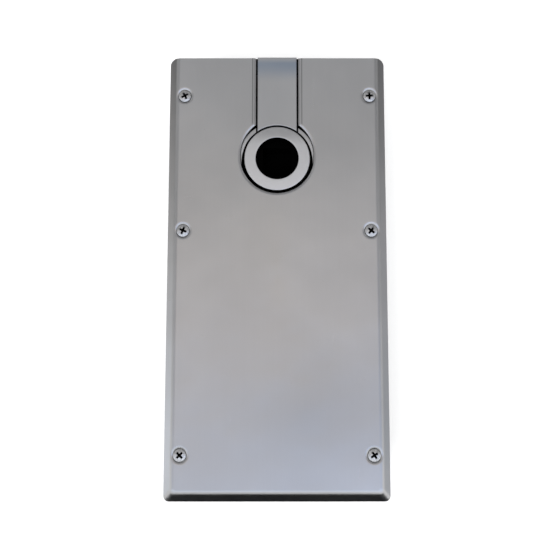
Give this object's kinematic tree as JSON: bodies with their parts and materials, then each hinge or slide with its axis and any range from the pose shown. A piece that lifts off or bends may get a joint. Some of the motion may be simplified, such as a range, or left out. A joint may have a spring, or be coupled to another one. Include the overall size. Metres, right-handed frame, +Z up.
{
  "type": "floor spring door closer",
  "caption": "Floor spring door closer: a bevelled cover plate with a slotted hub ring over a sunk steel box that holds a hydraulic body with a heart cam and spring pistons.",
  "frame": {"origin": "on the spindle axis at finished floor level, in the middle of the round mouth of the drive socket", "axes": "+Z up out of the floor along the spindle, +X across the box, +Y towards the slotted end of the cover; the body runs towards -Y"},
  "size_m": [0.15, 0.3057, 0.0625],
  "materials": {
    "cover_sheet": "satin brushed stainless sheet",
    "ring_face": "finely turned stainless",
    "cover_fasteners": "polished stainless",
    "zinc_fasteners": "bright zinc plated",
    "black_fasteners": "black oxide",
    "brass_fittings": "turned brass",
    "dark_steel": "phosphated forged steel",
    "ground_steel": "hardened and ground",
    "machined_steel": "milled and turned",
    "bearing_steel": "polished bearing steel",
    "spring_steel": "oil tempered wire",
    "seal_rubber": "oil resistant rubber",
    "ring_polymer": "filled polymer piston ring",
    "gasket_fibre": "pressed fibre sheet",
    "cast_body": "cast iron with machined faces",
    "galvanised_box": "galvanised steel sheet"
  },
  "bodies": {
    "floor_box": {"cement_box": "galvanised_box", "mount_bushes": "zinc_fasteners", "screw_lugs": "galvanised_box", "cover_plate": "cover_sheet", "cover_screws": "cover_fasteners", "slot_filler": "cover_sheet", "filler_bracket": "galvanised_box", "closer_body": "cast_body", "lid_gasket": "gasket_fibre", "body_lid": "cast_body", "lid_screws": "black_fasteners", "filler_plug": "brass_fittings", "body_bolts": "zinc_fasteners", "body_washers": "zinc_fasteners", "upper_bearing_outer": "bearing_steel", "lower_bearing_outer": "bearing_steel", "hub_seal": "seal_rubber", "spring_left": "spring_steel", "spring_right": "spring_steel", "cylinder_plugs": "black_fasteners", "plug_seals": "seal_rubber", "valve_seals": "seal_rubber", "channel_plugs": "black_fasteners"},
    "spindle_group": {"spindle": "dark_steel", "hub_ring": "ring_face", "cam_key": "ground_steel", "heart_cam": "ground_steel", "cam_spacer": "ground_steel", "upper_bearing_inner": "bearing_steel", "lower_bearing_inner": "bearing_steel"},
    "upper_cage": {"upper_bearing_balls": "bearing_steel"},
    "lower_cage": {"lower_bearing_balls": "bearing_steel"},
    "carriage": {"crosshead": "machined_steel", "crosshead_screws": "black_fasteners", "roller_pin": "ground_steel", "pin_clips": "black_fasteners", "piston_left": "machined_steel", "piston_right": "machined_steel", "piston_rings": "ring_polymer", "ball_retainers": "machined_steel"},
    "roller": {"cam_roller": "ground_steel"},
    "check_valve": {"check_balls": "bearing_steel"},
    "closing_screw": {"closing_valve": "brass_fittings"},
    "latching_screw": {"latching_valve": "brass_fittings"}
  },
  "joints": [
    {"name": "spindle_turn", "type": "hinge", "parent": "floor_box", "child": "spindle_group", "pos_m": [0, 0, 0], "axis": [0, 0, 1], "range_deg": [0, 120], "stiffness_Nm_per_rad": 7.35, "springref_deg": -155.84},
    {"name": "carriage_slide", "type": "slide", "parent": "floor_box", "child": "carriage", "axis": [0, -1, 0], "range_m": [0, 0.02], "deforming": ["spring_left", "spring_right"]},
    {"name": "roller_spin", "type": "hinge", "parent": "carriage", "child": "roller", "pos_m": [0, -0.026, -0.031], "axis": [0, 0, 1], "continuous": true},
    {"name": "upper_cage_turn", "type": "hinge", "parent": "floor_box", "child": "upper_cage", "pos_m": [0, 0, -0.0135], "axis": [0, 0, 1], "range_deg": [0, 60]},
    {"name": "lower_cage_turn", "type": "hinge", "parent": "floor_box", "child": "lower_cage", "pos_m": [0, 0, -0.0455], "axis": [0, 0, 1], "range_deg": [0, 60]},
    {"name": "check_ball_lift", "type": "slide", "parent": "carriage", "child": "check_valve", "axis": [0, 1, 0], "range_m": [0, 0.0015]},
    {"name": "closing_valve_turn", "type": "hinge", "parent": "floor_box", "child": "closing_screw", "pos_m": [0, -0.114, -0.02], "axis": [0, 0, 1], "range_deg": [0, 360]},
    {"name": "latching_valve_turn", "type": "hinge", "parent": "floor_box", "child": "latching_screw", "pos_m": [0, -0.086, -0.02], "axis": [0, 0, 1], "range_deg": [0, 360]}
  ],
  "couplings": [
    {"joint": "carriage_slide", "follows": "spindle_turn", "m_per_rad": 0.009549},
    {"joint": "upper_cage_turn", "follows": "spindle_turn", "ratio": 0.4609},
    {"joint": "lower_cage_turn", "follows": "spindle_turn", "ratio": 0.4308}
  ]
}
